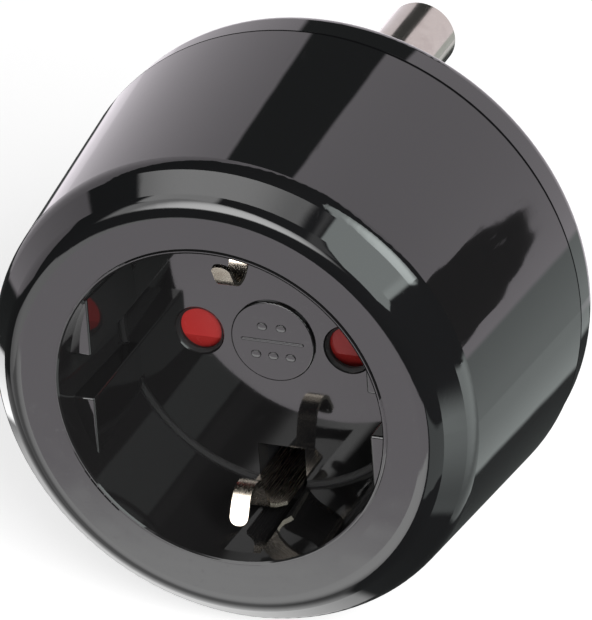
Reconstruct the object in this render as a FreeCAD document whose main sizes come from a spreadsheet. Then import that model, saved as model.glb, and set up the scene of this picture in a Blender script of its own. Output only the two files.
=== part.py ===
"""Travel adapter plug: a round two-piece plastic body with a recessed, shuttered earthed socket
in front and three round pins behind.

Frame: the origin is the centre of the flat rear face, +Y points the way the pins point, the
socket opens towards -Y, +Z points up to the large earth pin and +X lies across.
Lengths are in millimetres. A station is the distance behind the front face.
"""
import FreeCAD, Part
import math
import os
import Sketcher

os.makedirs("parts", exist_ok=True)

doc = FreeCAD.newDocument("TravelAdapterPlug")

# Driving sizes, each with its own cell

SIZES = (
    # Outer body, by station and radius
    ("depth", 42.0),
    ("face_margin", 4.55),
    ("face_rounding", 3.5),
    ("shoulder_station", 4.1),
    ("shoulder_margin", 8.35),
    ("shoulder_rounding", 3.0),
    ("seam_margin", 10.8),
    ("seam_from_back", 7.8),
    ("seam_gap", 0.2),
    ("seam_rounding", 0.25),
    ("rim_inset", 0.35),
    ("rim_width", 4.1),
    ("rim_rounding", 2.0),
    ("back_inset", 3.5),
    ("shell_wall", 2.4),
    ("face_ring_thickness", 2.6),
    ("spigot_length", 2.0),
    ("spigot_wall", 1.2),
    ("spigot_clearance", 0.35),
    ("back_wall", 3.0),
    # Socket recess
    ("recess_depth", 17.5),
    ("mouth_radius", 20.35),
    ("floor_taper", 0.85),
    ("floor_bevel", 0.35),
    ("lip_width", 0.35),
    ("lip_length", 1.3),
    ("mouth_rounding", 0.6),
    ("insert_wall", 1.65),
    ("insert_clearance", 0.1),
    ("floor_thickness", 2.8),
    ("medallion_radius", 5.3),
    ("medallion_height", 0.4),
    ("medallion_rounding", 0.2),
    ("guide_inset", 3.0),
    ("guide_station", 3.4),
    ("guide_slot_width", 5.6),
    ("guide_rounding", 0.3),
    ("earth_slot_width", 6.0),
    ("earth_slot_station", 2.1),
    ("earth_slot_reach", 4.25),
    ("earth_slot_wall", 1.0),
    # Socket holes, contacts and shutter
    ("hole_spacing", 19.0),
    ("hole_radius", 2.7),
    ("hole_chamfer", 0.5),
    ("shutter_web", 1.0),
    ("shutter_thickness", 1.6),
    ("shutter_clearance", 0.1),
    ("shutter_side_clearance", 0.2),
    ("shutter_travel", 6.6),
    ("shutter_margin", 0.9),
    ("shutter_top", 6.0),
    ("shutter_half_width", 14.5),
    ("ramp_rise", 2.3),
    ("ramp_depth", 0.9),
    ("spring_offset", 5.0),
    ("spring_radius", 0.65),
    ("spring_wire_radius", 0.14),
    ("spring_turns", 9.0),
    ("spring_seat", 0.2),
    ("spring_channel_width", 2.0),
    ("spring_channel_rise", 1.4),
    ("plate_thickness", 1.5),
    ("disc_inset", 0.5),
    ("passage_radius", 2.9),
    ("notch_width", 6.4),
    ("carrier_thickness", 2.5),
    ("carrier_lip", 0.4),
    ("cavity_radius", 4.0),
    ("tube_radius", 5.2),
    ("tube_clearance", 0.4),
    ("carrier_post_radius", 2.4),
    ("carrier_post_across", 16.8),
    ("carrier_post_height", -3.0),
    ("contact_bore", 2.45),
    ("contact_wall", 0.65),
    ("contact_overhang", 0.8),
    ("contact_gap", 0.1),
    ("contact_slit", 0.8),
    ("grip_wall", 0.55),
    ("grip_width", 4.0),
    ("grip_slit", 1.6),
    ("close_fit", 0.02),
    # Plug pins
    ("earth_pin_radius", 4.35),
    ("earth_pin_length", 28.6),
    ("earth_pin_inset", 3.55),
    ("pin_drop", 28.6),
    ("pin_spacing", 25.4),
    ("power_pin_radius", 3.525),
    ("power_pin_length", 18.6),
    ("pin_tip_chamfer", 0.7),
    ("collar_step", 0.3),
    ("collar_clearance", 0.05),
    ("flange_step", 1.9),
    ("flange_thickness", 1.6),
    ("stub_radius", 3.0),
    ("stub_length", 3.8),
    ("retainer_thickness", 2.2),
    ("retainer_inset", 0.1),
    ("retainer_clearance", 0.1),
    ("retainer_passage_radius", 3.2),
    # Conductors
    ("strap_thickness", 0.8),
    ("strap_width", 5.0),
    ("strap_eye_radius", 4.6),
    ("strap_pad_radius", 3.6),
    ("bridge_width", 7.0),
    ("leaf_thickness", 0.5),
    ("leaf_width", 5.6),
    ("leaf_inset", 3.45),
    ("leaf_root_setback", 4.8),
    ("leaf_root_gap", 0.3),
    ("leaf_shoulder_station", 11.8),
    ("tongue_width", 2.3),
    ("tongue_tip_station", 3.2),
    ("tongue_tip_inset", 1.2),
    ("tongue_bend_station", 7.15),
    ("tongue_bend_inset", 8.7),
    ("tongue_foot_station", 10.3),
    ("bend_rounding", 2.3),
    ("foot_rounding", 0.8),
    # Fasteners
    ("pin_screw_radius", 1.45),
    ("pin_screw_head_radius", 2.8),
    ("pin_screw_head", 1.5),
    ("pin_screw_bite", 4.2),
    ("washer_radius", 3.2),
    ("washer_thickness", 0.5),
    ("screw_clearance", 0.05),
    ("slot_width", 0.7),
    ("slot_depth", 0.6),
    ("boss_radius", 2.6),
    ("boss_clearance", 0.4),
    ("boss_gap", 0.1),
    ("boss_overhang", 0.8),
    ("boss_hole_depth", 11.0),
    ("post_radius", 3.0),
    ("cover_screw_radius", 1.2),
    ("cover_screw_head_radius", 2.7),
    ("cover_screw_head", 1.8),
    ("cover_screw_seat", 2.2),
    ("cover_screw_length", 13.8),
    ("cover_head_clearance", 0.3),
    ("retainer_screw_inset", 4.9),
    ("retainer_screw_height", 6.0),
    ("retainer_screw_head_radius", 2.4),
    ("retainer_screw_head", 1.2),
    ("retainer_screw_bite", 1.4),
    ("retainer_post_radius", 2.6),
    ("carrier_screw_across", 13.0),
    ("carrier_screw_drop", 12.0),
    ("carrier_screw_radius", 0.95),
    ("carrier_screw_head_radius", 2.2),
    ("carrier_screw_head", 1.1),
    ("carrier_screw_bite", 1.6),
    ("passing_clearance", 0.3),
)

sheet = doc.addObject("Spreadsheet::Sheet", "Sizes")
for row, (name, number) in enumerate(SIZES, start=1):
    sheet.set("A%d" % row, name)
    sheet.set("B%d" % row, str(number))
    sheet.setAlias("B%d" % row, name)
doc.recompute()


# A length carries its number and the sheet expression that gives it

class Length:
    def __init__(self, number, words):
        self.number = float(number)
        self.words = words

    def __add__(self, other):
        other = as_length(other)
        return Length(self.number + other.number, "(%s + %s)" % (self.words, other.words))

    def __sub__(self, other):
        other = as_length(other)
        return Length(self.number - other.number, "(%s - %s)" % (self.words, other.words))

    def __mul__(self, other):
        other = as_length(other)
        return Length(self.number * other.number, "(%s * %s)" % (self.words, other.words))

    def __truediv__(self, other):
        other = as_length(other)
        return Length(self.number / other.number, "(%s / %s)" % (self.words, other.words))

    def __neg__(self):
        return Length(-self.number, "(-1 * %s)" % self.words)


def as_length(value):
    if isinstance(value, Length):
        return value
    return Length(value, repr(float(value)))


def size(name):
    return Length(sheet.get(name), "Sizes." + name)


def root(value):
    return Length(math.sqrt(value.number), "sqrt(%s)" % value.words)


def cosine(degrees):
    return Length(math.cos(math.radians(degrees)), "cos(%s)" % repr(float(degrees)))


def sine(degrees):
    return Length(math.sin(math.radians(degrees)), "sin(%s)" % repr(float(degrees)))


# Shared stations and radii

depth = size("depth")
hole_across = size("hole_spacing") / 2
insert_radius = size("mouth_radius") + size("insert_wall")
face_radius = insert_radius + size("face_margin")
shoulder_radius = insert_radius + size("shoulder_margin")
seam_radius = insert_radius + size("seam_margin")
seam_front = depth - size("seam_from_back")
seam_back = seam_front + size("seam_gap")
rim_radius = seam_radius - size("rim_inset")
shell_inner_seam = seam_radius - size("shell_wall")
spigot_radius = shell_inner_seam - size("spigot_clearance")
cover_inner_radius = spigot_radius - size("spigot_wall")
inner_back = depth - size("back_wall")
disc_radius = insert_radius - size("disc_inset")
retainer_radius = insert_radius - size("retainer_inset")
boss_pitch = insert_radius + size("boss_clearance") + size("boss_radius")
boss_end = seam_front + size("boss_overhang")

recess_floor = size("recess_depth")
insert_back = recess_floor + size("floor_thickness")
shutter_pocket_front = recess_floor + size("shutter_web")
plate_back = insert_back + size("plate_thickness")
carrier_back = plate_back + size("carrier_thickness")

leaf_radius = insert_radius - size("leaf_inset")
earth_slot_inner = leaf_radius - size("earth_slot_reach")
earth_slot_outer = insert_radius - size("earth_slot_wall")
earth_pin_height = leaf_radius - size("earth_pin_inset")
power_pin_across = size("pin_spacing") / 2
power_pin_height = earth_pin_height - size("pin_drop")
flange_front = inner_back - size("flange_thickness")
stub_front = flange_front - size("stub_length")
retainer_front = flange_front - size("retainer_thickness")
strap_front = stub_front - size("strap_thickness")
washer_front = strap_front - size("washer_thickness")
tube_end = strap_front - size("tube_clearance")
contact_front = plate_back + size("carrier_lip") + size("contact_gap")
contact_end = stub_front + size("contact_overhang")
leaf_root = strap_front - size("leaf_root_setback")

shutter_front = shutter_pocket_front + size("shutter_clearance")
shutter_back = shutter_front + size("shutter_thickness")
shutter_bottom = -(size("hole_radius") + size("shutter_margin"))
pocket_bottom = shutter_bottom - size("shutter_side_clearance")
pocket_top = size("shutter_top") + size("shutter_travel") + size("shutter_side_clearance")
channel_top = pocket_top + size("spring_channel_rise")
spring_foot = size("spring_seat") + size("spring_wire_radius")
spring_head = channel_top - size("spring_wire_radius")

BOSS_ANGLES = (30, 150, 270)
PIN_PLACES = (
    (as_length(0), earth_pin_height),
    (power_pin_across, power_pin_height),
    (-power_pin_across, power_pin_height),
)
SIDES = (1, -1)


# Bodies, sketches and features

def plane(body, role):
    for item in body.Origin.OriginFeatures:
        if item.Role == role:
            return item
    raise ValueError(role)


def new_body(name):
    body = doc.addObject("PartDesign::Body", name)
    body.Label = name
    return body


def new_sketch(body, name, role, offset=None):
    sketch = body.newObject("Sketcher::SketchObject", body.Label + "_" + name)
    sketch.AttachmentSupport = [(plane(body, role), "")]
    sketch.MapMode = "FlatFace"
    if offset is not None:
        sketch.setExpression("AttachmentOffset.Base.z", as_length(offset).words)
    return sketch


def across_sketch(body, name, station):
    """A sketch across the plug at a station: its first axis is X and its second is Z."""
    return new_sketch(body, name, "XZ_Plane", depth - station)


def bind_constraint(sketch, constraint, length):
    index = sketch.addConstraint(constraint)
    sketch.setExpression("Constraints[%d]" % index, as_length(length).words)


def fix_point(sketch, geometry, vertex, x, y):
    x = as_length(x)
    y = as_length(y)
    bind_constraint(sketch, Sketcher.Constraint("DistanceX", -1, 1, geometry, vertex, x.number), x)
    bind_constraint(sketch, Sketcher.Constraint("DistanceY", -1, 1, geometry, vertex, y.number), y)


def outline(sketch, points):
    """A closed outline of straight lines through points whose places are bound to the sheet."""
    first = sketch.GeometryCount
    count = len(points)
    places = [FreeCAD.Vector(as_length(x).number, as_length(y).number, 0) for x, y in points]
    for index in range(count):
        sketch.addGeometry(Part.LineSegment(places[index], places[(index + 1) % count]), False)
    for index in range(count):
        following = first + (index + 1) % count
        sketch.addConstraint(Sketcher.Constraint("Coincident", first + index, 2, following, 1))
    for index, (x, y) in enumerate(points):
        fix_point(sketch, first + index, 1, x, y)


def circle(sketch, x, y, radius):
    x = as_length(x)
    y = as_length(y)
    radius = as_length(radius)
    centre = FreeCAD.Vector(x.number, y.number, 0)
    curve = Part.Circle(centre, FreeCAD.Vector(0, 0, 1), radius.number)
    index = sketch.addGeometry(curve, False)
    fix_point(sketch, index, 3, x, y)
    bind_constraint(sketch, Sketcher.Constraint("Radius", index, radius.number), radius)


def box_outline(sketch, low_x, high_x, low_z, high_z):
    outline(sketch, [(low_x, low_z), (high_x, low_z), (high_x, high_z), (low_x, high_z)])


def revolve(body, points):
    """Turn a profile about the Y axis: each point is a radius and a station."""
    sketch = new_sketch(body, "profile", "XY_Plane")
    outline(sketch, [(radius, as_length(station) - depth) for radius, station in points])
    feature = body.newObject("PartDesign::Revolution", body.Label + "_revolution")
    feature.Profile = sketch
    feature.ReferenceAxis = (sketch, ["V_Axis"])
    feature.Angle = 360
    sketch.Visibility = False
    doc.recompute()
    return feature


def pad(body, name, front, back, draw):
    """Add material from one station back to another over what draw puts in the sketch."""
    sketch = across_sketch(body, name, back)
    draw(sketch)
    feature = body.newObject("PartDesign::Pad", body.Label + "_" + name + "_pad")
    feature.Profile = sketch
    feature.setExpression("Length", (as_length(back) - front).words)
    sketch.Visibility = False
    doc.recompute()
    return feature


def pocket(body, name, front, back, draw):
    """Cut from one station back to another, and make sure that something was cut."""
    before = body.Shape.Volume
    sketch = across_sketch(body, name, front)
    draw(sketch)
    feature = body.newObject("PartDesign::Pocket", body.Label + "_" + name + "_pocket")
    feature.Profile = sketch
    feature.setExpression("Length", (as_length(back) - front).words)
    sketch.Visibility = False
    doc.recompute()
    if body.Shape.Volume >= before:
        raise ValueError(feature.Label + " cuts nothing")
    return feature


def edge_names(feature, wanted):
    return ["Edge%d" % (i + 1) for i, edge in enumerate(feature.Shape.Edges) if wanted(edge)]


def round_edges(body, name, base, wanted, radius):
    feature = body.newObject("PartDesign::Fillet", body.Label + "_" + name)
    feature.Base = (base, edge_names(base, wanted))
    feature.setExpression("Radius", radius.words)
    doc.recompute()
    return feature


def bevel_edges(body, name, base, wanted, length):
    feature = body.newObject("PartDesign::Chamfer", body.Label + "_" + name)
    feature.Base = (base, edge_names(base, wanted))
    feature.setExpression("Size", length.words)
    doc.recompute()
    return feature


def near(first, second):
    return abs(first - as_length(second).number) < 1e-4


def is_ring(edge, radius, station):
    """Whether an edge is a full circle of this radius across the plug at this station."""
    curve = edge.Curve
    if not isinstance(curve, Part.Circle):
        return False
    return near(curve.Radius, radius) and near(curve.Center.y, as_length(station) - depth)


def boss_place(angle):
    return boss_pitch * cosine(angle), boss_pitch * sine(angle)


def draw_discs(places, radius):
    def draw(sketch):
        for x, z in places:
            circle(sketch, x, z, radius)
    return draw


def draw_rings(places, inner, outer):
    def draw(sketch):
        for x, z in places:
            circle(sketch, x, z, outer)
            circle(sketch, x, z, inner)
    return draw


boss_places = [boss_place(angle) for angle in BOSS_ANGLES]
hole_places = [(hole_across * side, as_length(0)) for side in SIDES]
retainer_screw_places = [
    ((retainer_radius - size("retainer_screw_inset")) * side, size("retainer_screw_height"))
    for side in SIDES]
carrier_screw_places = [
    (size("carrier_screw_across") * side, -size("carrier_screw_drop")) for side in SIDES]
carrier_post_places = [
    (size("carrier_post_across") * side, size("carrier_post_height")) for side in SIDES]


def draw_earth_notches(width, inner, outer):
    """Two slots at the top and bottom of the socket for the earth clips."""
    def draw(sketch):
        box_outline(sketch, -(width / 2), width / 2, inner, outer)
        box_outline(sketch, -(width / 2), width / 2, -outer, -inner)
    return draw


# Front shell: the ring face, the sloping shoulder and the cone, with three screw bosses

def front_shell():
    body = new_body("front_shell")
    wall = size("shell_wall")
    ring = size("face_ring_thickness")
    bore = size("mouth_radius") + size("lip_width") + size("insert_clearance")
    counterbore = insert_radius + size("insert_clearance")
    step = size("lip_length") - size("insert_clearance")
    skin = revolve(body, [
        (bore, 0),
        (face_radius, 0),
        (shoulder_radius, size("shoulder_station")),
        (seam_radius, seam_front),
        (shell_inner_seam, seam_front),
        (shoulder_radius - wall, size("shoulder_station") + wall / 4),
        (face_radius - wall / 2, ring),
        (counterbore, ring),
        (counterbore, step),
        (bore, step),
    ])
    face = round_edges(body, "face_rounding", skin,
                       lambda edge: is_ring(edge, face_radius, 0),
                       size("face_rounding"))
    shoulder = round_edges(body, "shoulder_rounding", face,
                           lambda edge: is_ring(edge, shoulder_radius, size("shoulder_station")),
                           size("shoulder_rounding"))
    mouth = round_edges(body, "mouth_rounding", shoulder,
                        lambda edge: is_ring(edge, bore, 0),
                        size("mouth_rounding"))
    round_edges(body, "seam_rounding", mouth,
                lambda edge: is_ring(edge, seam_radius, seam_front),
                size("seam_rounding"))
    pad(body, "bosses", ring - size("boss_gap"), boss_end,
        draw_discs(boss_places, size("boss_radius")))
    pilot = size("cover_screw_radius") + size("screw_clearance")
    pocket(body, "pilots", boss_end - size("boss_hole_depth"), boss_end,
           draw_discs(boss_places, pilot))
    return body


# Socket insert: the recess with its guides, its earth slots, its pin holes and the shutter bed

def guide_points(side, height):
    """One guide block in section: a chord of the recess that runs out into its wall."""
    slot = size("guide_slot_width") / 2
    span = size("mouth_radius") - size("guide_inset")
    wall_reach = (insert_radius + size("mouth_radius")) / 2
    chord_end = root(size("mouth_radius") * size("mouth_radius") - span * span)
    shoulder_across = span + (wall_reach - span) * 0.5
    shoulder_up = root(wall_reach * wall_reach - shoulder_across * shoulder_across)
    corner_across = root(wall_reach * wall_reach - slot * slot)
    middle_across = (corner_across + shoulder_across) / 2
    middle_up = root(wall_reach * wall_reach - middle_across * middle_across)
    corners = [
        (span, slot),
        (corner_across, slot),
        (middle_across, middle_up),
        (shoulder_across, shoulder_up),
        (span, chord_end),
    ]
    return [(x * side, z * height) for x, z in corners]


def socket_insert():
    body = new_body("socket_insert")
    lip = size("mouth_radius") + size("lip_width")
    rounding = size("lip_width") / 2
    floor_radius = size("mouth_radius") - size("floor_taper")
    revolve(body, [
        (0, recess_floor),
        (floor_radius - size("floor_bevel"), recess_floor),
        (floor_radius, recess_floor - size("floor_bevel")),
        (size("mouth_radius"), rounding),
        (size("mouth_radius") + rounding, 0),
        (lip, rounding / 4),
        (lip, size("lip_length")),
        (insert_radius, size("lip_length")),
        (insert_radius, insert_back),
        (0, insert_back),
    ])

    def draw_guides(sketch):
        for side in SIDES:
            for height in SIDES:
                outline(sketch, guide_points(side, height))

    pad(body, "guides", size("guide_station"), insert_back - size("shutter_web"), draw_guides)
    badge_front = recess_floor - size("medallion_height")
    badge = pad(body, "medallion", badge_front, shutter_pocket_front,
                draw_discs([(0, 0)], size("medallion_radius")))
    round_edges(body, "medallion_rounding", badge,
                lambda edge: is_ring(edge, size("medallion_radius"), badge_front),
                size("medallion_rounding"))
    pocket(body, "earth_slots", size("earth_slot_station"), insert_back,
           draw_earth_notches(size("earth_slot_width"), earth_slot_inner, earth_slot_outer))
    holes = pocket(body, "pin_holes", recess_floor, insert_back,
                   draw_discs(hole_places, size("hole_radius")))
    bevel_edges(body, "hole_chamfers", holes,
                lambda edge: is_ring(edge, size("hole_radius"), recess_floor),
                size("hole_chamfer"))
    half = size("shutter_half_width") + size("shutter_side_clearance")
    channel = size("spring_channel_width") / 2
    outer = size("spring_offset") + channel
    inner = size("spring_offset") - channel

    def draw_bed(sketch):
        outline(sketch, [
            (-half, pocket_bottom), (half, pocket_bottom), (half, pocket_top),
            (outer, pocket_top), (outer, channel_top), (inner, channel_top),
            (inner, pocket_top), (-inner, pocket_top), (-inner, channel_top),
            (-outer, channel_top), (-outer, pocket_top), (-half, pocket_top),
        ])

    pocket(body, "shutter_bed", shutter_pocket_front, insert_back, draw_bed)
    pilots = pocket(body, "screw_pilots", insert_back - size("carrier_screw_bite") - 0.2,
                    insert_back,
                    draw_discs(carrier_screw_places,
                               size("carrier_screw_radius") + size("screw_clearance")))
    span = size("mouth_radius") - size("guide_inset")
    slot = size("guide_slot_width") / 2

    def on_guide(edge):
        """Whether an edge borders a guide's flat front or is one of its long corners."""
        middle = edge.CenterOfMass
        if not isinstance(edge.Curve, Part.Line):
            return False
        at_front = near(middle.y, size("guide_station") - depth) and edge.BoundBox.YLength < 1e-4
        at_chord = near(abs(middle.x), span)
        at_slot = near(abs(middle.z), slot)
        return (at_front and (at_chord or at_slot)) or (at_chord and at_slot)

    round_edges(body, "guide_rounding", pilots, on_guide, size("guide_rounding"))
    return body


# Shutter: a slider with a ramp that the plug's pins push on, and its two return springs

def shutter_slider():
    body = new_body("shutter_slider")
    sketch = new_sketch(body, "profile", "YZ_Plane")
    front = shutter_front - depth
    back = shutter_back - depth
    outline(sketch, [
        (front, shutter_bottom + size("ramp_rise")),
        (front + size("ramp_depth"), shutter_bottom),
        (back, shutter_bottom),
        (back, size("shutter_top")),
        (front, size("shutter_top")),
    ])
    block = body.newObject("PartDesign::Pad", "shutter_slider_pad")
    block.Profile = sketch
    block.SideType = "Symmetric"
    block.setExpression("Length", (size("shutter_half_width") * 2).words)
    doc.recompute()
    channel = size("spring_channel_width") / 2

    def draw_notches(cut):
        for side in SIDES:
            centre = size("spring_offset") * side
            box_outline(cut, centre - channel, centre + channel,
                        size("spring_seat"), size("shutter_top") + 1)

    pocket(body, "spring_notches", shutter_front, shutter_back, draw_notches)
    return body


def shutter_spring(name, side):
    body = new_body(name)
    sketch = new_sketch(body, "wire", "XZ_Plane")
    circle(sketch, size("spring_radius"), spring_foot, size("spring_wire_radius"))
    coil = body.newObject("PartDesign::AdditiveHelix", name + "_coil")
    coil.Profile = sketch
    coil.ReferenceAxis = (sketch, ["V_Axis"])
    coil.Mode = "height-turns-angle"
    coil.setExpression("Height", (spring_head - spring_foot).words)
    coil.setExpression("Turns", size("spring_turns").words)
    middle = (shutter_pocket_front + insert_back) / 2 - depth
    body.setExpression("Placement.Base.x", (size("spring_offset") * side).words)
    body.setExpression("Placement.Base.y", middle.words)
    doc.recompute()
    return body


# Plate that closes the shutter bed

def shutter_plate():
    body = new_body("shutter_plate")
    pad(body, "disc", insert_back, plate_back, draw_discs([(0, 0)], disc_radius))
    pocket(body, "passages", insert_back, plate_back,
           draw_discs(hole_places, size("passage_radius")))
    pocket(body, "notches", insert_back, plate_back,
           draw_earth_notches(size("notch_width"), earth_slot_inner, disc_radius + 1))
    pocket(body, "screw_holes", insert_back, plate_back,
           draw_discs(carrier_screw_places,
                      size("carrier_screw_radius") + size("passing_clearance")))
    return body


# Contact carrier: a disc with two tubes round the contacts and two posts on the pin retainer

def contact_carrier():
    body = new_body("contact_carrier")
    root_station = carrier_back - size("close_fit")
    pad(body, "disc", plate_back, carrier_back, draw_discs([(0, 0)], disc_radius))
    pad(body, "tubes", root_station, tube_end,
        draw_discs(hole_places, size("tube_radius")))
    pad(body, "posts", root_station, retainer_front,
        draw_discs(carrier_post_places, size("carrier_post_radius")))
    pocket(body, "passages", plate_back, carrier_back,
           draw_discs(hole_places, size("passage_radius")))
    pocket(body, "cavities", plate_back + size("carrier_lip"), tube_end,
           draw_discs(hole_places, size("cavity_radius")))
    pocket(body, "notches", plate_back, carrier_back,
           draw_earth_notches(size("notch_width"), earth_slot_inner, disc_radius + 1))
    pocket(body, "screw_holes", plate_back, carrier_back,
           draw_discs(carrier_screw_places,
                      size("carrier_screw_radius") + size("passing_clearance")))
    return body


# Contacts: a slit sleeve for each plug pin, and a slit steel ring that closes it

def slit_sleeve(name, side, inner, outer, front, back, slit):
    body = new_body(name)
    place = (hole_across * side, as_length(0))
    pad(body, "sleeve", front, back, draw_rings([place], inner, outer))

    def draw_slit(sketch):
        near_x = (hole_across + inner / 2) * side
        far_x = (hole_across + outer + 1) * side
        box_outline(sketch, near_x, far_x, -(slit / 2), slit / 2)

    pocket(body, "slit", front, back, draw_slit)
    return body


contact_outer = size("contact_bore") + size("contact_wall")


def contact(name, side):
    return slit_sleeve(name, side, size("contact_bore"), contact_outer, contact_front,
                       contact_end, size("contact_slit"))


def grip_ring(name, side):
    inner = contact_outer + size("close_fit")
    front = (contact_front + strap_front - size("grip_width")) / 2
    return slit_sleeve(name, side, inner, inner + size("grip_wall"), front,
                       front + size("grip_width"), size("grip_slit"))


# Straps that join each contact to its pin

def strap(name, side):
    body = new_body(name)
    pin_place = (power_pin_across * side, power_pin_height)
    hole_place = (hole_across * side, as_length(0))
    run_x = power_pin_across - hole_across
    run_z = -power_pin_height
    run = root(run_x * run_x + run_z * run_z)
    half = size("strap_width") / 2
    shift_x = half * run_z / run
    shift_z = half * run_x / run
    pad(body, "eye", strap_front, stub_front, draw_discs([hole_place], size("strap_eye_radius")))
    pad(body, "foot", strap_front, stub_front, draw_discs([pin_place], size("strap_pad_radius")))

    def draw_run(sketch):
        corners = [
            (power_pin_across + shift_x, power_pin_height + shift_z),
            (hole_across + shift_x, shift_z),
            (hole_across - shift_x, -shift_z),
            (power_pin_across - shift_x, power_pin_height - shift_z),
        ]
        outline(sketch, [(x * side, z) for x, z in corners])

    pad(body, "run", strap_front, stub_front, draw_run)
    pocket(body, "eye_hole", strap_front, stub_front,
           draw_discs([hole_place], contact_outer + size("close_fit")))
    pocket(body, "screw_hole", strap_front, stub_front,
           draw_discs([pin_place], size("pin_screw_radius") + size("passing_clearance")))
    return body


# Earth conductor: a cross plate with a leg behind each clip

leg_inner = leaf_radius - size("leaf_thickness") / 2


def earth_bridge():
    body = new_body("earth_bridge")
    half = size("bridge_width") / 2

    def draw_plate(sketch):
        box_outline(sketch, -half, half, -leg_inner, leg_inner)

    def draw_legs(sketch):
        leg = size("leaf_width") / 2
        outer = leg_inner + size("strap_thickness")
        for side in SIDES:
            box_outline(sketch, -leg, leg, (leg_inner - size("close_fit")) * side, outer * side)

    pad(body, "plate", strap_front, stub_front, draw_plate)
    pad(body, "legs", leaf_root + size("leaf_root_gap"), stub_front, draw_legs)
    pocket(body, "screw_hole", strap_front, stub_front,
           draw_discs([(0, earth_pin_height)],
                      size("pin_screw_radius") + size("passing_clearance")))
    return body


# Earth clips: a spring leaf whose narrow tongue bends into the recess

def leaf_corners():
    """Both sides of the leaf as station and radius, mitred at its two bends."""
    path = [
        (size("tongue_tip_station"), leaf_radius - size("tongue_tip_inset")),
        (size("tongue_bend_station"), leaf_radius - size("tongue_bend_inset")),
        (size("tongue_foot_station"), leaf_radius),
        (leaf_root, leaf_radius),
    ]
    half = size("leaf_thickness") / 2
    directions = []
    for start, end in zip(path, path[1:]):
        along = end[0] - start[0]
        out = end[1] - start[1]
        length = root(along * along + out * out)
        directions.append((along / length, out / length))
    sides = ([], [])
    for index, (station, radius) in enumerate(path):
        before = directions[max(index - 1, 0)]
        after = directions[min(index, len(directions) - 1)]
        sum_along = before[0] + after[0]
        sum_out = before[1] + after[1]
        scale = half * 2 / (sum_along * sum_along + sum_out * sum_out)
        for side, points in zip(SIDES, sides):
            points.append((station - sum_out * scale * side, radius + sum_along * scale * side))
    return sides


def earth_clip(name, side):
    body = new_body(name)
    sketch = new_sketch(body, "profile", "YZ_Plane")
    outer, inner = leaf_corners()
    corners = outer + inner[::-1]
    outline(sketch, [(station - depth, radius * side) for station, radius in corners])
    leaf = body.newObject("PartDesign::Pad", name + "_pad")
    leaf.Profile = sketch
    leaf.SideType = "Symmetric"
    leaf.setExpression("Length", size("leaf_width").words)
    doc.recompute()
    before = body.Shape.Volume
    plan = new_sketch(body, "plan", "XY_Plane")
    shoulder = size("leaf_shoulder_station") - depth
    for edge_side in SIDES:
        outline(plan, [
            (size("tongue_width") / 2 * edge_side, -depth),
            (size("leaf_width") * edge_side, -depth),
            (size("leaf_width") * edge_side, shoulder),
            (size("leaf_width") / 2 * edge_side, shoulder),
            (size("tongue_width") / 2 * edge_side, size("tongue_foot_station") - depth),
        ])
    trim = body.newObject("PartDesign::Pocket", name + "_trim")
    trim.Profile = plan
    trim.Type = "ThroughAll"
    trim.SideType = "Symmetric"
    doc.recompute()
    if body.Shape.Volume >= before:
        raise ValueError(name + " has an untrimmed tongue")

    def at_corner(point):
        station, radius = point
        return FreeCAD.Vector(0, (station - depth).number, radius.number * side)

    def on_edge(place):
        def wanted(edge):
            middle = edge.CenterOfMass
            flat = edge.BoundBox.YLength < 1e-4 and edge.BoundBox.ZLength < 1e-4
            return flat and (FreeCAD.Vector(0, middle.y, middle.z) - place).Length < 1e-3
        return wanted

    thickness = size("leaf_thickness")
    bend = round_edges(body, "bend_inside", trim, on_edge(at_corner(outer[1])),
                       size("bend_rounding"))
    bend = round_edges(body, "bend_outside", bend, on_edge(at_corner(inner[1])),
                       size("bend_rounding") + thickness)
    foot = round_edges(body, "foot_inside", bend, on_edge(at_corner(inner[2])),
                       size("foot_rounding"))
    foot = round_edges(body, "foot_outside", foot, on_edge(at_corner(outer[2])),
                       size("foot_rounding") + thickness)
    tip_limit = (size("tongue_tip_station") + thickness - depth).number

    def at_tip(edge):
        short = abs(edge.Length - thickness.number) < 0.05
        aside = abs(abs(edge.CenterOfMass.x) - size("tongue_width").number / 2) < 1e-3
        return short and aside and edge.CenterOfMass.y < tip_limit

    round_edges(body, "tongue_tip", foot, at_tip, size("tongue_width") * 0.45)
    return body


# Plug pins, each turned about its own axis and then set in its place

def plug_pin(name, x, z, radius, length):
    body = new_body(name)
    chamfer = size("pin_tip_chamfer")
    collar = radius + size("collar_step")
    flange = radius + size("flange_step")
    tip = depth + length
    revolve(body, [
        (0, tip),
        (radius - chamfer, tip),
        (radius, tip - chamfer),
        (radius, depth),
        (collar, depth),
        (collar, inner_back),
        (flange, inner_back),
        (flange, flange_front),
        (size("stub_radius"), flange_front),
        (size("stub_radius"), stub_front),
        (0, stub_front),
    ])
    thread = size("pin_screw_radius") + size("screw_clearance")
    pocket(body, "thread", stub_front, stub_front + size("pin_screw_bite") + 0.5,
           draw_discs([(0, 0)], thread))
    body.setExpression("Placement.Base.x", as_length(x).words)
    body.setExpression("Placement.Base.z", as_length(z).words)
    doc.recompute()
    return body


# Pin retainer: a plate that holds the pin flanges against the rear cover

def pin_retainer():
    body = new_body("pin_retainer")
    pad(body, "disc", retainer_front, flange_front, draw_discs([(0, 0)], retainer_radius))
    stub_hole = size("stub_radius") + size("retainer_clearance")
    pocket(body, "stub_holes", retainer_front, flange_front, draw_discs(PIN_PLACES, stub_hole))
    pocket(body, "passages", retainer_front, flange_front,
           draw_discs(hole_places, size("retainer_passage_radius")))
    pocket(body, "screw_holes", retainer_front, flange_front,
           draw_discs(retainer_screw_places,
                      size("cover_screw_radius") + size("passing_clearance")))
    return body


# Rear cover: the rim, the flat back, its spigot, screw posts and pin holes

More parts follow.
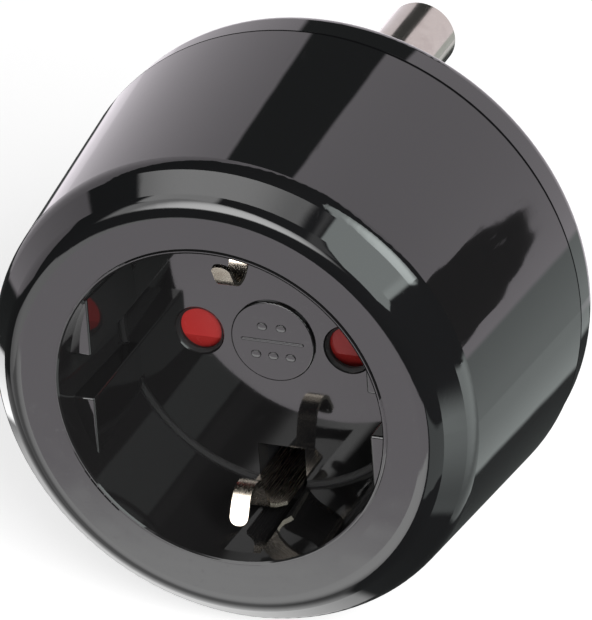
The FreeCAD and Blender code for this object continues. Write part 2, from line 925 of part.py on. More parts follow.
def rear_cover():
    body = new_body("rear_cover")
    rim_back = seam_back + size("rim_width")
    skin = revolve(body, [
        (0, inner_back),
        (cover_inner_radius, inner_back),
        (cover_inner_radius, seam_back - size("spigot_length")),
        (spigot_radius, seam_back - size("spigot_length")),
        (spigot_radius, seam_back),
        (rim_radius, seam_back),
        (rim_radius, rim_back),
        (rim_radius - size("back_inset"), depth),
        (0, depth),
    ])
    rim = round_edges(body, "rim_rounding", skin,
                      lambda edge: is_ring(edge, rim_radius, rim_back),
                      size("rim_rounding"))
    round_edges(body, "cover_seam_rounding", rim,
                lambda edge: is_ring(edge, rim_radius, seam_back),
                size("seam_rounding"))
    post_front = boss_end + size("boss_gap")
    pad(body, "posts", post_front, inner_back + size("close_fit"),
        draw_discs(boss_places, size("post_radius")))
    pad(body, "retainer_posts", flange_front, inner_back + size("close_fit"),
        draw_discs(retainer_screw_places, size("retainer_post_radius")))
    collar_gap = size("collar_step") + size("collar_clearance")
    pocket(body, "earth_pin_hole", inner_back, depth,
           draw_discs(PIN_PLACES[:1], size("earth_pin_radius") + collar_gap))
    pocket(body, "power_pin_holes", inner_back, depth,
           draw_discs(PIN_PLACES[1:], size("power_pin_radius") + collar_gap))
    pocket(body, "screw_holes", post_front, depth,
           draw_discs(boss_places, size("cover_screw_radius") + size("passing_clearance")))
    pocket(body, "screw_seats", depth - size("cover_screw_seat"), depth,
           draw_discs(boss_places,
                      size("cover_screw_head_radius") + size("cover_head_clearance")))
    pocket(body, "retainer_pilots", flange_front, flange_front + size("retainer_screw_bite") + 0.4,
           draw_discs(retainer_screw_places, size("cover_screw_radius") + size("screw_clearance")))
    return body


# Fasteners: each kind is one node of separate solids

def join(name, tools):
    group = doc.addObject("Part::Compound", name)
    group.Label = name
    group.Links = tools
    doc.recompute()
    return group


def place_rod(rod, x, z, front):
    rod.Placement = FreeCAD.Placement(FreeCAD.Vector(0, 0, 0),
                                      FreeCAD.Rotation(FreeCAD.Vector(1, 0, 0), -90))
    rod.setExpression("Placement.Base.x", as_length(x).words)
    rod.setExpression("Placement.Base.y", (as_length(front) - depth).words)
    rod.setExpression("Placement.Base.z", as_length(z).words)


def cylinder(name, x, z, front, back, radius):
    rod = doc.addObject("Part::Cylinder", name)
    rod.setExpression("Radius", as_length(radius).words)
    rod.setExpression("Height", (as_length(back) - front).words)
    place_rod(rod, x, z, front)
    return rod


def screw(name, x, z, seat, forward, head_radius, head, shank_radius, shank):
    """A slotted screw: forward is 1 when the head is in front of its seat, and -1 behind it."""
    seat = as_length(seat)
    if forward > 0:
        head_span = (seat - head, seat)
        shank_span = (seat, seat + shank)
        slot_front = seat - head
    else:
        head_span = (seat, seat + head)
        shank_span = (seat - shank, seat)
        slot_front = seat + head - size("slot_depth")
    top = cylinder(name + "_head", x, z, head_span[0], head_span[1], head_radius)
    rod = cylinder(name + "_shank", x, z, shank_span[0], shank_span[1], shank_radius)
    whole = doc.addObject("Part::Fuse", name + "_whole")
    whole.Base = top
    whole.Tool = rod
    slot = doc.addObject("Part::Box", name + "_slot")
    slot.setExpression("Length", (head_radius * 2 + 1).words)
    slot.setExpression("Width", size("slot_depth").words)
    slot.setExpression("Height", size("slot_width").words)
    slot.setExpression("Placement.Base.x", (as_length(x) - head_radius - 0.5).words)
    slot.setExpression("Placement.Base.y", (slot_front - depth).words)
    slot.setExpression("Placement.Base.z", (as_length(z) - size("slot_width") / 2).words)
    cut = doc.addObject("Part::Cut", name)
    cut.Base = whole
    cut.Tool = slot
    return cut


def pin_screws():
    tools = [
        screw("pin_screw_%d" % index, x, z, washer_front, 1, size("pin_screw_head_radius"),
              size("pin_screw_head"), size("pin_screw_radius"),
              size("washer_thickness") + size("strap_thickness") + size("pin_screw_bite"))
        for index, (x, z) in enumerate(PIN_PLACES, start=1)]
    return join("pin_screws", tools)


def pin_washers():
    tools = []
    for index, (x, z) in enumerate(PIN_PLACES, start=1):
        disc = cylinder("washer_disc_%d" % index, x, z, washer_front, strap_front,
                        size("washer_radius"))
        hole = cylinder("washer_hole_%d" % index, x, z, washer_front - 1, strap_front + 1,
                        size("pin_screw_radius") + size("screw_clearance"))
        ring = doc.addObject("Part::Cut", "washer_%d" % index)
        ring.Base = disc
        ring.Tool = hole
        tools.append(ring)
    return join("pin_washers", tools)


def carrier_screws():
    shank = size("carrier_thickness") + size("plate_thickness") + size("carrier_screw_bite")
    tools = [
        screw("carrier_screw_%d" % index, x, z, carrier_back, -1,
              size("carrier_screw_head_radius"), size("carrier_screw_head"),
              size("carrier_screw_radius"), shank)
        for index, (x, z) in enumerate(carrier_screw_places, start=1)]
    return join("carrier_screws", tools)


def retainer_screws():
    tools = [
        screw("retainer_screw_%d" % index, x, z, retainer_front, 1,
              size("retainer_screw_head_radius"), size("retainer_screw_head"),
              size("cover_screw_radius"),
              size("retainer_thickness") + size("retainer_screw_bite"))
        for index, (x, z) in enumerate(retainer_screw_places, start=1)]
    return join("retainer_screws", tools)


def cover_screws():
    tools = [
        screw("cover_screw_%d" % index, x, z, depth - size("cover_screw_seat"), -1,
              size("cover_screw_head_radius"), size("cover_screw_head"),
              size("cover_screw_radius"), size("cover_screw_length"))
        for index, (x, z) in enumerate(boss_places, start=1)]
    return join("cover_screws", tools)


NODES = [
    front_shell(),
    socket_insert(),
    shutter_slider(),
    shutter_spring("shutter_spring_left", -1),
    shutter_spring("shutter_spring_right", 1),
    shutter_plate(),
    contact_carrier(),
    contact("line_contact", 1),
    contact("neutral_contact", -1),
    grip_ring("line_grip_ring", 1),
    grip_ring("neutral_grip_ring", -1),
    strap("line_strap", 1),
    strap("neutral_strap", -1),
    earth_clip("upper_earth_clip", 1),
    earth_clip("lower_earth_clip", -1),
    earth_bridge(),
    plug_pin("earth_pin", 0, earth_pin_height, size("earth_pin_radius"),
             size("earth_pin_length")),
    plug_pin("line_pin", power_pin_across, power_pin_height, size("power_pin_radius"),
             size("power_pin_length")),
    plug_pin("neutral_pin", -power_pin_across, power_pin_height, size("power_pin_radius"),
             size("power_pin_length")),
    pin_retainer(),
    rear_cover(),
    pin_screws(),
    pin_washers(),
    carrier_screws(),
    retainer_screws(),
    cover_screws(),
]

# Nothing is written unless every object is sound

doc.recompute()
for item in doc.Objects:
    for state in item.State:
        if state in ("Invalid", "Error"):
            raise RuntimeError("%s is %s" % (item.Label, state))
for node in NODES:
    if node.Shape.isNull() or not node.Shape.isValid():
        raise RuntimeError(node.Label + " has no sound shape")

for node in NODES:
    node.Shape.exportStep("parts/%s.step" % node.Label)
    print(node.Label, len(node.Shape.Solids), round(node.Shape.Volume, 2))
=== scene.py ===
"""Looks of the travel adapter plug: finishes on its pieces, merged copies of its springs, the badge's plain
marks, studio and camera."""
import math

import bmesh
import bpy
import numpy as np
from mathutils import Matrix, Vector


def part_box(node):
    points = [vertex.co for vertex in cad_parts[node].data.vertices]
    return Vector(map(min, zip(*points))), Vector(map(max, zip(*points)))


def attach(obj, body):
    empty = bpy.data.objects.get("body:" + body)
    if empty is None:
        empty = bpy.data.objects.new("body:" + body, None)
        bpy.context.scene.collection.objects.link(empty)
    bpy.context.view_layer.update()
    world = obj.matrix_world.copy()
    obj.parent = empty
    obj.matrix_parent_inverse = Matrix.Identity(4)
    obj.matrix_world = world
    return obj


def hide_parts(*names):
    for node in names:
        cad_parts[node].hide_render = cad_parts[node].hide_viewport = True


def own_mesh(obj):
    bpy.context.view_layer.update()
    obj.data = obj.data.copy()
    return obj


MM = 0.001
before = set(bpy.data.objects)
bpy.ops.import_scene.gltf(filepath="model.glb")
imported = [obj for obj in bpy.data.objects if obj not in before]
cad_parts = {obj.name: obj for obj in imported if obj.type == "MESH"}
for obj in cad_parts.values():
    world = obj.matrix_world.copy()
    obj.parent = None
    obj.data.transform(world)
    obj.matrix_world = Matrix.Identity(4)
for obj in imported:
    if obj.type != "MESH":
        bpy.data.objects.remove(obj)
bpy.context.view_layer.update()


# Places on the plug. Its middle line is the y axis, which runs from the front to the back.

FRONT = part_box("front_shell")[0][1]
STAND_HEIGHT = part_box("rear_cover")[0][2]
RECESS_FLOOR = FRONT + 17.5 * MM
RECESS_RADIUS = 19.5 * MM
BADGE_FRONT = RECESS_FLOOR - 0.4 * MM
SEAM = FRONT + 34.2 * MM

# Where dust lies: these distances are from the recess's floor, from its wall, and behind its floor.
DUST_OFF_FLOOR = (0.90 * MM, 0.45 * MM)
DUST_OFF_WALL = (0.90 * MM, 0.30 * MM)
DUST_BEHIND = (0.05 * MM, 0.30 * MM)
DUST_ROUGHNESS = 0.75

# The mouth's rim, by its distance from the middle line and its depth, and how soon it ends.
RIM_RADII = (20.55 * MM, 22.3 * MM)
RIM_FADES = (0.08 * MM, 0.30 * MM)
RIM_DEPTHS = (FRONT + 0.75 * MM, FRONT + 0.60 * MM)

# Painted shade for the seam's groove: it loses its shine within the first distance, and has it back at the
# second.
SEAM_SHADE = (0.40 * MM, 0.52 * MM)
PLAIN_SHINE = 0.5


def add_object(name, data):
    """A new object at the origin of the scene."""
    new = bpy.data.objects.new(name, data)
    bpy.context.scene.collection.objects.link(new)
    return new


# Small helpers for node trees

def new_node(tree, kind, **settings):
    """Add a node and set its plain properties."""
    node = tree.nodes.new(kind)
    for name, value in settings.items():
        setattr(node, name, value)
    return node


def feed(tree, socket, value):
    """Link a socket to another, or set its number, and leave it alone for None."""
    if value is None:
        return
    if isinstance(value, bpy.types.NodeSocket):
        tree.links.new(value, socket)
    else:
        socket.default_value = value


def math_node(tree, operation, first, second=None):
    """One Math node; numbers become socket values and sockets become links."""
    node = new_node(tree, "ShaderNodeMath", operation=operation)
    for socket, value in zip(node.inputs, (first, second)):
        feed(tree, socket, value)
    return node.outputs[0]


def product(tree, first, second):
    return math_node(tree, "MULTIPLY", first, second)


def distance(tree, first, second):
    """How far apart two numbers are."""
    return math_node(tree, "ABSOLUTE", math_node(tree, "SUBTRACT", first, second))


def dot_product(tree, vector, direction):
    node = new_node(tree, "ShaderNodeVectorMath", operation="DOT_PRODUCT")
    feed(tree, node.inputs[0], vector)
    feed(tree, node.inputs[1], direction)
    return node.outputs["Value"]


def smooth_step(tree, value, start, end):
    """0 at start and 1 at end, with soft shoulders."""
    node = new_node(tree, "ShaderNodeMapRange", interpolation_type="SMOOTHSTEP")
    feed(tree, node.inputs["Value"], value)
    feed(tree, node.inputs["From Min"], start)
    feed(tree, node.inputs["From Max"], end)
    return node.outputs["Result"]


# The Mix node's sockets for each kind of value: its two inputs and its output
MIX_SOCKETS = {"FLOAT": (2, 3, 0), "VECTOR": (4, 5, 1), "RGBA": (6, 7, 2)}


def blend(tree, factor, first, second, kind="FLOAT"):
    """A plain mix of two numbers, vectors or colours."""
    node = new_node(tree, "ShaderNodeMix", data_type=kind)
    first_socket, second_socket, result = MIX_SOCKETS[kind]
    feed(tree, node.inputs[0], factor)
    feed(tree, node.inputs[first_socket], first)
    feed(tree, node.inputs[second_socket], second)
    return node.outputs[result]


def noise(tree, position, scale, detail=2.0, roughness=0.5):
    """Noise with a scale in waves per metre."""
    node = new_node(tree, "ShaderNodeTexNoise")
    feed(tree, node.inputs["Vector"], position)
    node.inputs["Scale"].default_value = scale
    node.inputs["Detail"].default_value = detail
    node.inputs["Roughness"].default_value = roughness
    return node.outputs["Fac"]


def stretched(tree, position, scale):
    """The position scaled by a different amount along each axis."""
    node = new_node(tree, "ShaderNodeMapping")
    feed(tree, node.inputs["Vector"], position)
    node.inputs["Scale"].default_value = scale
    return node.outputs["Vector"]


def new_group(name, inputs, outputs):
    """An empty shader group with named sockets, and its input and output nodes."""
    group = bpy.data.node_groups.new(name, "ShaderNodeTree")
    for socket_name, kind, value in inputs:
        socket = group.interface.new_socket(name=socket_name, in_out="INPUT", socket_type=kind)
        if value is not None:
            socket.default_value = value
    for socket_name in outputs:
        group.interface.new_socket(name=socket_name, in_out="OUTPUT", socket_type="NodeSocketFloat")
    return group, group.nodes.new("NodeGroupInput"), group.nodes.new("NodeGroupOutput")


def finish_group(group, made, **results):
    """Link each result to the group's output of that name."""
    for name, socket in results.items():
        group.links.new(socket, made.inputs[name.capitalize()])
    return group


def use_group(tree, group, **values):
    """Place a group and feed its inputs by name."""
    node = new_node(tree, "ShaderNodeGroup")
    node.node_tree = group
    for name, value in values.items():
        feed(tree, node.inputs[name.capitalize()], value)
    return node


# Surface effects shared by the finishes

def moulding_group():
    """Moulded plastic: faint flow mottling, a slow waviness, and a fine haze of dust and rubs."""
    group, given, made = new_group(
        "moulded_surface", [("Position", "NodeSocketVector", None)], ["Mottle", "Haze", "Height"])
    position = given.outputs["Position"]
    mottle = noise(group, stretched(group, position, (1.0, 0.35, 1.0)), scale=90.0, detail=3.0)
    wave = noise(group, position, scale=130.0, detail=1.0)
    grain = noise(group, position, scale=2600.0)
    specks = noise(group, position, scale=900.0, detail=4.0, roughness=0.7)
    dust = product(group, smooth_step(group, specks, 0.58, 0.78), 0.7)
    streaks = noise(group, stretched(group, position, (1.0, 0.08, 1.0)), scale=1500.0)
    rubs = smooth_step(group, streaks, 0.62, 0.80)
    return finish_group(group, made, mottle=mottle,
                        haze=math_node(group, "MAXIMUM", dust, rubs),
                        height=math_node(group, "ADD", wave, product(group, grain, 0.02)))


def plating_group():
    """Plated metal: fine lines along one axis, soft stains and a scatter of pits."""
    group, given, made = new_group(
        "plated_surface",
        [("Position", "NodeSocketVector", None), ("Lines", "NodeSocketVector", (1.0, 0.05, 1.0))],
        ["Stain", "Rub", "Height"])
    position = given.outputs["Position"]
    scaled = new_node(group, "ShaderNodeVectorMath", operation="MULTIPLY")
    feed(group, scaled.inputs[0], position)
    feed(group, scaled.inputs[1], given.outputs["Lines"])
    lines = noise(group, scaled.outputs[0], scale=5200.0)
    stain = noise(group, position, scale=420.0, detail=4.0, roughness=0.65)
    pits = smooth_step(group, noise(group, position, scale=3800.0, detail=1.0), 0.70, 0.86)
    return finish_group(group, made, stain=stain, rub=lines,
                        height=math_node(group, "SUBTRACT", lines, pits))


MOULDED = moulding_group()
PLATED = plating_group()


# Finishes

def shader_of(material):
    return material.node_tree.nodes["Principled BSDF"]


def new_finish(name):
    """A material with only a Principled shader, its output and the object's own coordinates."""
    material = bpy.data.materials.new(name)
    material.use_nodes = True
    tree = material.node_tree
    position = new_node(tree, "ShaderNodeTexCoord").outputs["Object"]
    return material, tree, shader_of(material), position


def add_relief(tree, shader, height, depth):
    relief = new_node(tree, "ShaderNodeBump")
    relief.inputs["Strength"].default_value = 1.0
    relief.inputs["Distance"].default_value = depth
    feed(tree, relief.inputs["Height"], height)
    feed(tree, shader.inputs["Normal"], relief.outputs["Normal"])


def moulded_plastic(name, colour, lighter, gloss, dull, relief, shine=PLAIN_SHINE):
    """Plastic from a mould: a base colour with a lighter mottle, and a gloss that the haze dulls."""
    material, tree, shader, position = new_finish(name)
    surface = use_group(tree, MOULDED, position=position).outputs
    feed(tree, shader.inputs["Base Color"],
         blend(tree, surface["Mottle"], (*colour, 1.0), (*lighter, 1.0), "RGBA"))
    feed(tree, shader.inputs["Roughness"], blend(tree, surface["Haze"], gloss, dull))
    shader.inputs["IOR"].default_value = 1.5
    shader.inputs["Specular IOR Level"].default_value = shine
    add_relief(tree, shader, surface["Height"], relief)
    return material


def plated_metal(name, colour, darker, smooth, rough, lines, relief):
    """Metal with fine lines along its length, darker where it has stained."""
    material, tree, shader, position = new_finish(name)
    surface = use_group(tree, PLATED, position=position, lines=lines).outputs
    stained = smooth_step(tree, surface["Stain"], 0.40, 0.75)
    feed(tree, shader.inputs["Base Color"],
         blend(tree, stained, (*colour, 1.0), (*darker, 1.0), "RGBA"))
    shader.inputs["Metallic"].default_value = 1.0
    feed(tree, shader.inputs["Roughness"], blend(tree, surface["Rub"], smooth, rough))
    add_relief(tree, shader, surface["Height"], relief)
    return material


def place_in(material):
    """A place on the object: how far back it is, and how far from the plug's middle line."""
    tree = material.node_tree
    place = new_node(tree, "ShaderNodeSeparateXYZ")
    feed(tree, place.inputs[0], new_node(tree, "ShaderNodeTexCoord").outputs["Object"])
    across, back, up = place.outputs
    squares = math_node(tree, "ADD", product(tree, across, across), product(tree, up, up))
    return back, math_node(tree, "SQRT", squares)


def dull_corner(material):
    """Dust and a matt mould line where the recess's wall meets its floor, and in the holes behind."""
    tree = material.node_tree
    back, radius = place_in(material)
    near_floor = smooth_step(tree, distance(tree, back, RECESS_FLOOR), *DUST_OFF_FLOOR)
    near_wall = smooth_step(tree, radius, *(RECESS_RADIUS - reach for reach in DUST_OFF_WALL))
    behind = smooth_step(tree, back, *(RECESS_FLOOR + reach for reach in DUST_BEHIND))
    dusty = math_node(tree, "MAXIMUM", product(tree, near_floor, near_wall), behind)
    roughness = shader_of(material).inputs["Roughness"]
    gloss = roughness.links[0].from_socket
    feed(tree, roughness, blend(tree, dusty, gloss, DUST_ROUGHNESS))


def crisp_rim(material):
    """The mouth's rim shines as a flat ring with a fine edge: its small roundings face the front."""
    tree = material.node_tree
    back, radius = place_in(material)
    outside = smooth_step(tree, radius, RIM_RADII[0], RIM_RADII[0] + RIM_FADES[0])
    inside = smooth_step(tree, radius, RIM_RADII[1], RIM_RADII[1] - RIM_FADES[1])
    near_face = smooth_step(tree, back, *RIM_DEPTHS)
    ring = product(tree, product(tree, outside, inside), near_face)
    normal = shader_of(material).inputs["Normal"]
    relief = normal.links[0].from_socket
    feed(tree, normal, blend(tree, ring, relief, (0.0, -1.0, 0.0), "VECTOR"))


def paint_seam_shade(material):
    """Painted shade in the seam's groove: it loses its shine, so that it shows as a fine dark line round the
    body.
    """
    tree = material.node_tree
    back, _ = place_in(material)
    shine = smooth_step(tree, distance(tree, back, SEAM), *SEAM_SHADE)
    feed(tree, shader_of(material).inputs["Specular IOR Level"], product(tree, shine, PLAIN_SHINE))


# How each plating's fine lines lie: short across them, and drawn out along one axis
LINES_BACK = (1.0, 0.04, 1.0)
LINES_UP = (1.0, 1.0, 0.1)
LINES_ACROSS = (0.1, 1.0, 1.0)

FINISH_OF = {
    "black_plastic": moulded_plastic("shell_black", (0.0065, 0.0065, 0.0072), (0.0085, 0.0085, 0.0092),
                                     0.035, 0.12, 0.012 * MM),
    "recess_plastic": moulded_plastic("recess_black", (0.0125, 0.0122, 0.0125), (0.0165, 0.0160, 0.0165),
                                      0.05, 0.16, 0.012 * MM),
    "red_plastic": moulded_plastic("shutter_red", (0.52, 0.034, 0.032), (0.58, 0.045, 0.042),
                                   0.26, 0.40, 0.010 * MM, shine=0.15),
    "inner_plastic": moulded_plastic("inner_black", (0.022, 0.022, 0.024), (0.032, 0.032, 0.034),
                                     0.34, 0.50, 0.020 * MM),
    "brass": plated_metal("bare_brass", (0.74, 0.56, 0.27), (0.50, 0.36, 0.16),
                          0.20, 0.34, LINES_BACK, 0.004 * MM),
    "plated_clip": plated_metal("clip_plating", (0.62, 0.55, 0.47), (0.46, 0.39, 0.32),
                                0.20, 0.34, LINES_BACK, 0.004 * MM),
    "plated_pin": plated_metal("pin_plating", (0.37, 0.342, 0.312), (0.33, 0.30, 0.275),
                               0.10, 0.20, LINES_BACK, 0.003 * MM),
    "spring_steel": plated_metal("spring_steel", (0.56, 0.56, 0.57), (0.38, 0.37, 0.36),
                                 0.20, 0.34, LINES_UP, 0.003 * MM),
    "screw_steel": plated_metal("screw_zinc", (0.62, 0.62, 0.64), (0.44, 0.43, 0.42),
                                0.22, 0.38, LINES_ACROSS, 0.004 * MM),
}
RECESS_BLACK = FINISH_OF["recess_plastic"]
# The seam's dark line is painted shade, made by taking away the shine in a band round the body.
paint_seam_shade(FINISH_OF["black_plastic"])
crisp_rim(FINISH_OF["black_plastic"])
dull_corner(RECESS_BLACK)
crisp_rim(RECESS_BLACK)


def dress_nodes():
    """Give every CAD node the finish of the slot that its own material is named for."""
    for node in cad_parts.values():
        for slot in node.material_slots:
            slot_name = slot.material.name.split(".")[0]
            slot.material = FINISH_OF[slot_name]


dress_nodes()


# The shutter's springs, as merged copies of their solids


def closing_spring(name):
    """A merged copy of a spring's solid, fixed to the housing in place of its CAD node."""
    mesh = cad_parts[name].data.copy()
    coil = bmesh.new()
    coil.from_mesh(mesh)
    bmesh.ops.remove_doubles(coil, verts=coil.verts, dist=1e-4 * MM)
    coil.to_mesh(mesh)
    coil.free()
    mesh.shade_smooth()
    spring = add_object(name + "_coil", mesh)
    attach(spring, "housing")
    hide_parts(name)
    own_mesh(spring)


for spring_name in ("shutter_spring_left", "shutter_spring_right"):
    closing_spring(spring_name)


# The badge's plain marks

def grid_mesh(name, x, y, z):
    """A mesh from three arrays on a grid that closes round its second direction.

    Rows run along the first array axis. Neighbouring grid points make four-sided faces, and the
    first and last row are each closed by one face.
    """
    rows, columns = x.shape
    points = np.stack([x, y, z], -1).reshape(-1, 3)
    index = np.arange(rows * columns).reshape(rows, columns)
    right = np.roll(index, -1, axis=1)
    faces = np.stack([index[:-1], right[:-1], right[1:], index[1:]], -1).reshape(-1, 4).tolist()
    faces.append(index[0][::-1].tolist())
    faces.append(index[-1].tolist())
    mesh = bpy.data.meshes.new(name)
    mesh.from_pydata(points.tolist(), [], faces)
    mesh.update()
    return mesh


MARK_HEIGHT = 0.12 * MM
MARK_SINK = 0.02 * MM
MARK_COLUMNS = 48
MARK_ROWS = 7
MARK_TOP_SHARE = 0.45


def raised_mark(name, centre_x, centre_z, length, width):
    """A low mark with round ends on the badge's face, sunk a little so that no gap shows.

    Its outline is a stadium: at angle t it is the centre plus half the straight part towards the
    side that t faces plus half the width times (cos t, sin t). Rows climb from the foot to the
    top along a quarter circle that draws the outline in by the height, and the last one lies
    near the middle, drawn in by a share of the width.
    """
    turn = np.linspace(0, 2 * np.pi, MARK_COLUMNS, endpoint=False)
    climb = np.linspace(0, np.pi / 2, MARK_ROWS)
    inset = np.append(MARK_HEIGHT * (1 - np.cos(climb)), width * MARK_TOP_SHARE)
    rise = np.append(MARK_HEIGHT * np.sin(climb), MARK_HEIGHT)
    radius = (width / 2 - inset)[:, None]
    straight = (length - width) / 2 * np.where(np.cos(turn) > -1e-9, 1, -1)
    x = centre_x + straight + radius * np.cos(turn)
    z = centre_z + radius * np.sin(turn)
    y = np.broadcast_to((BADGE_FRONT + MARK_SINK - rise)[:, None], x.shape)
    mesh = grid_mesh(name, x, y, z)
    mesh.materials.append(RECESS_BLACK)
    mesh.shade_smooth()
    mark = add_object(name, mesh)
    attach(mark, "housing")


raised_mark("badge_bar", 0.0, 0.0, 8.0 * MM, 0.42 * MM)
DOT_ROWS = {"upper": (1.9 * MM, (-1.2, 1.2)), "lower": (-1.9 * MM, (-2.2, 0.0, 2.2))}
for row_name, (row_height, dot_places) in DOT_ROWS.items():
    for dot_place in dot_places:
        raised_mark(f"badge_dot_{row_name}_{round(dot_place * 10) + 30}", dot_place * MM, row_height,
                    1.3 * MM, 1.0 * MM)


# Studio: what shiny pieces see, by direction, and a plain white for the camera

def heading(azimuth, elevation):
    """The unit vector towards an azimuth (0 in front, 90 on the right) and an elevation."""
    turn, climb = math.radians(azimuth), math.radians(elevation)
    return Vector((math.cos(climb) * math.sin(turn), -math.cos(climb) * math.cos(turn), math.sin(climb)))


def studio_ramp_group():
    """How far a direction lies along an axis, as a soft step from low to high, times a mask."""
    group, given, made = new_group(
        "studio_ramp",
        [("Direction", "NodeSocketVector", None),
         ("Axis", "NodeSocketVector", (0.0, 0.0, 1.0)),
         ("Low", "NodeSocketFloat", 0.0),
         ("High", "NodeSocketFloat", 1.0),
         ("Mask", "NodeSocketFloat", 1.0)],
        ["Mask"])
    along = dot_product(group, given.outputs["Direction"], given.outputs["Axis"])
    step = smooth_step(group, along, given.outputs["Low"], given.outputs["High"])
    return finish_group(group, made, mask=product(group, step, given.outputs["Mask"]))


NEUTRAL = (1.0, 1.0, 1.0)
MAUVE = (1.03, 0.97, 1.03)
COOL = (0.94, 1.02, 1.00)

# Each card: its brightness, its tint, the softness of its edges, and its corners as azimuth and
# elevation in degrees, in turn and with no hollow side. A card's glow is a brightness that it
# rises to round a place on it: the brightness, the place, and the degrees that it fades over.
STUDIO_CARDS = {
    "under_table": (0.55, NEUTRAL, 0.06, ((2, -62), (180, -70), (-154, -32), (-132, -31), (-102, -26),
                                          (-68, -26), (-30, -40)), (1.5, (-131, -62), 36)),
    "under_shine": (3.0, NEUTRAL, 0.03, ((-113, -25), (-120, -23), (-131, -30), (-130, -35), (-120, -34)),
                    None),
    "table_left": (1.2, NEUTRAL, 0.03, ((-18, -20), (-44, -10), (-67, -16), (-80, -28), (-60, -48),
                                        (-18, -40)), (2.2, (-33, -22), 34)),
    "table": (2.2, MAUVE, 0.02, ((13, -22.5), (9, -45), (-45, -45), (-45, -24), (-22, -21.5)), None),
    "table_near": (0.9, NEUTRAL, 0.012, ((10, -31), (9, -45), (1, -66), (-60, -66), (-75, -45),
                                         (-65, -27), (-42.5, -24.3)), (4.0, (-14, -36), 34)),
    "right_table": (1.0, COOL, 0.03, ((15, -22.5), (15, -43), (30, -46), (57, -46), (72, -43),
                                      (72, -22)), None),
    "right_reflector": (0.85, COOL, 0.05, ((68, -6), (69, -48), (82, -60), (130, -60), (167, -42),
                                           (170, -30), (156, -6), (104, -5)), (3.1, (92, -8), 46)),
    "backdrop_behind": (1.4, MAUVE, 0.02, ((-142, 58), (158, 52), (160, -30), (-140, -18)), None),
    "backdrop_left": (1.15, MAUVE, 0.03, ((-64, -8.5), (-69, 6), (-100, 41), (-157, 54), (-157, -10)),
                      None),
    "backdrop_right": (1.4, MAUVE, 0.03, ((127, 44), (167, 51), (172, -17), (134, -12)), None),
    "back_strip": (0.08, COOL, 0.02, ((-157, 49), (-154, 19), (171, 19), (180, 49)), None),
    "left_window": (3.5, NEUTRAL, 0.05, ((-21, 36), (-27, 59), (-48, 60), (-64, 47), (-56, 30), (-38, 28)),
                    None),
    "front_window": (2.6, NEUTRAL, 0.10, ((-50, 6), (12, 6), (13, 24), (-2, 34), (-42, 43), (-56, 27)),
                     (10.0, (-16, 17), 25)),
    "overhead_strip": (2.2, NEUTRAL, 0.03, ((31, 52), (19, 62.5), (-48, 59.5), (-68, 49), (-73, 38),
                                            (-55, 42), (0, 56)), (3.9, (-40, 58), 30)),
    "box_gap": (0.75, NEUTRAL, 0.05, ((5, 24), (16, 17), (42, 55), (32, 55)), None),
    "right_box": (3.9, COOL, 0.03, ((50, 20), (113, 24), (113, 47), (101, 67), (60, 67), (42, 56)),
                  (9.8, (80, 37), 27)),
    "right_box_end": (3.7, COOL, 0.02, ((16, 17), (24, 8), (39, 11), (57, 23), (60, 60), (43, 57)), None),
}
ROOM = 0.07
PLAIN_LIGHT = (0.14, 0.14, 0.14, 1.0)
WHITE = (1.0, 1.0, 1.0, 1.0)


def tinted(tree, brightness, tint):
    """A tint as bright as a number or a socket says."""
    node = new_node(tree, "ShaderNodeVectorMath", operation="SCALE")
    node.inputs[0].default_value = tint
    feed(tree, node.inputs["Scale"], brightness)
    return node.outputs[0]


def build_world():
    """The cards for shiny pieces, one after another, an even light for matt ones, and camera white."""
    world = bpy.data.worlds.new("studio")
    world.use_nodes = True
    bpy.context.scene.world = world
    world.cycles.sampling_method = "NONE"
    tree = world.node_tree
    ramp = studio_ramp_group()
    direction = new_node(tree, "ShaderNodeTexCoord").outputs["Generated"]
    colour = tinted(tree, ROOM, COOL)
    for name, (radiance, tint, softness, corners, glow) in STUDIO_CARDS.items():
        places = [heading(*corner) for corner in corners]
        middle = sum(places, Vector())
        mask = 1.0
        for place, next_place in zip(places, places[1:] + places[:1]):
            inward = place.cross(next_place).normalized()
            inward *= math.copysign(1.0, inward.dot(middle))
            edge = use_group(tree, ramp, direction=direction, axis=inward, low=0.0, high=softness, mask=mask)
            edge.label = name
            mask = edge.outputs["Mask"]
        if glow:
            peak, centre, reach = glow
            rise = use_group(tree, ramp, direction=direction, axis=heading(*centre),
                             low=math.cos(math.radians(reach)), high=1.0, mask=1.0)
            radiance = blend(tree, rise.outputs["Mask"], radiance, peak)
        colour = blend(tree, mask, colour, tinted(tree, radiance, tint), "RGBA")
    path = new_node(tree, "ShaderNodeLightPath").outputs
    shiny = math_node(tree, "MAXIMUM", path["Is Glossy Ray"], path["Is Transmission Ray"])
    colour = blend(tree, shiny, PLAIN_LIGHT, colour, "RGBA")
    colour = blend(tree, path["Is Camera Ray"], colour, WHITE, "RGBA")
    background = tree.nodes["Background"]
    background.inputs["Strength"].default_value = 1.0
    feed(tree, background.inputs["Color"], colour)


def matt_finish(name, colour):
    """A stage material with one matt colour and no shine."""
    material = bpy.data.materials.new(name)
    material.use_nodes = True
    shader = shader_of(material)
    shader.inputs["Base Color"].default_value = (*colour, 1.0)
    shader.inputs["Roughness"].default_value = 1.0
    shader.inputs["Specular IOR Level"].default_value = 0.0
    return material


FLOOR_REACH = 3.0
FLOOR_TONE = (0.72, 0.72, 0.72)
FLOOR_WHITENESS = 0.72


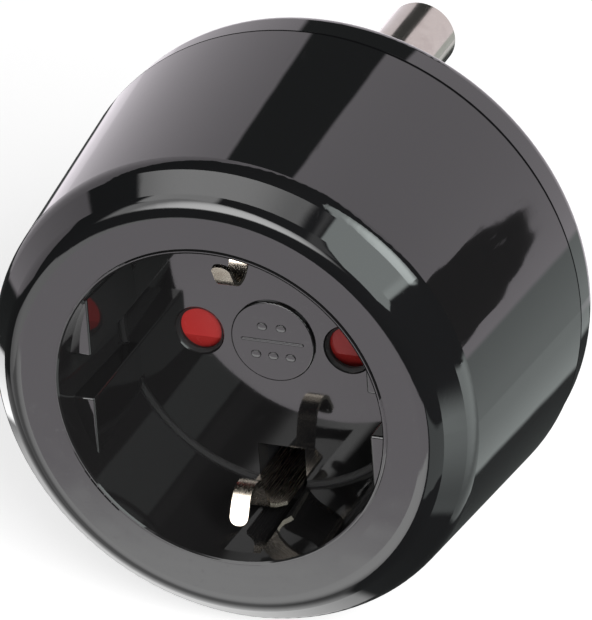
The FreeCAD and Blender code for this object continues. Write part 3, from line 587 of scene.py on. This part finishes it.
def build_floor():
    """A wide pale floor under the object, with its soft shadow, that no reflection shows.

    The camera alone sees an added even white on it, so that it joins the background.
    """
    mesh = bpy.data.meshes.new("studio_floor")
    signs = [(-1, -1), (1, -1), (1, 1), (-1, 1)]
    mesh.from_pydata([(FLOOR_REACH * x, FLOOR_REACH * y, STAND_HEIGHT) for x, y in signs], [], [(0, 1, 2, 3)])
    floor = add_object("studio_floor", mesh)
    floor.visible_glossy = False
    material = matt_finish("floor_paper", FLOOR_TONE)
    tree = material.node_tree
    shader = shader_of(material)
    seen = new_node(tree, "ShaderNodeLightPath").outputs["Is Camera Ray"]
    shader.inputs["Emission Color"].default_value = WHITE
    feed(tree, shader.inputs["Emission Strength"], product(tree, seen, FLOOR_WHITENESS))
    mesh.materials.append(material)


FLAG_PLACE = Vector((0.2206, 0.1662, 0.026))
FLAG_RADII = (0.019, 0.058)
FLAG_POINTS = 72
FLAG_FULLNESS = 0.7
FLAG_RIPPLES = ((0.025, 11), (0.02, 17))


def build_flag():
    """A dark card behind the object on its right, seen only as a reflection in its side.

    Its outline is an oval with fuller corners: each of its two radii times the cosine or sine of
    the angle, brought to a power below one with its sign kept, with slight ripples round it.
    """
    turn = np.linspace(0, 2 * np.pi, FLAG_POINTS, endpoint=False)
    ripple = 1 + sum(size * np.sin(count * turn) for size, count in FLAG_RIPPLES)
    across, up = (radius * ripple * np.sign(part) * np.abs(part) ** FLAG_FULLNESS
                  for radius, part in zip(FLAG_RADII, (np.cos(turn), np.sin(turn))))
    side = Vector((-FLAG_PLACE.y, FLAG_PLACE.x, 0.0)).normalized()
    points = [FLAG_PLACE + side * a + Vector((0.0, 0.0, u)) for a, u in zip(across, up)]
    fan = [(i, (i + 1) % FLAG_POINTS, FLAG_POINTS) for i in range(FLAG_POINTS)]
    mesh = bpy.data.meshes.new("studio_flag")
    mesh.from_pydata(points + [FLAG_PLACE], [], fan)
    mesh.materials.append(matt_finish("flag_cloth", (0.20, 0.19, 0.18)))
    flag = add_object("studio_flag", mesh)
    flag.visible_camera = False
    flag.visible_diffuse = False
    flag.visible_shadow = False


LAMP_PLACE = Vector((0.78, -0.85, 0.58))
LAMP_SIDE = 0.7
LAMP_WATTS = 17.0


def build_lamp():
    """One large soft lamp, high on the right in front, for the shadow and the red shutter."""
    light = bpy.data.lights.new("soft_lamp", "AREA")
    light.shape = "SQUARE"
    light.size = LAMP_SIDE
    light.energy = LAMP_WATTS
    lamp = add_object("soft_lamp", light)
    turn = (-LAMP_PLACE).to_track_quat("-Z", "Y").to_matrix().to_4x4()
    lamp.matrix_world = Matrix.Translation(LAMP_PLACE) @ turn
    lamp.visible_glossy = False


# Camera, found by fitting the socket's circles in the photograph

CAMERA_PLACE = (0.3483, -0.8303, 0.4734)
CAMERA_RIGHT = (0.93, 0.3624, -0.0618)
CAMERA_UP = (-0.1208, 0.4601, 0.8796)
FOCAL_PIXELS = 8435.4
FRAME_HEIGHT = 620
SENSOR = 36.0


def build_camera():
    lens = bpy.data.cameras.new("photo_camera")
    lens.sensor_fit = "VERTICAL"
    lens.sensor_height = SENSOR
    lens.lens = FOCAL_PIXELS * SENSOR / FRAME_HEIGHT
    lens.clip_start = 0.05
    lens.clip_end = 20.0
    camera = add_object("photo_camera", lens)
    right = Vector(CAMERA_RIGHT).normalized()
    up = Vector(CAMERA_UP)
    up = (up - up.dot(right) * right).normalized()
    turn = Matrix((right, up, right.cross(up))).transposed().to_4x4()
    camera.matrix_world = Matrix.Translation(CAMERA_PLACE) @ turn
    bpy.context.scene.camera = camera


build_world()
build_floor()
build_flag()
build_lamp()
build_camera()
bpy.context.scene.view_settings.view_transform = "Standard"
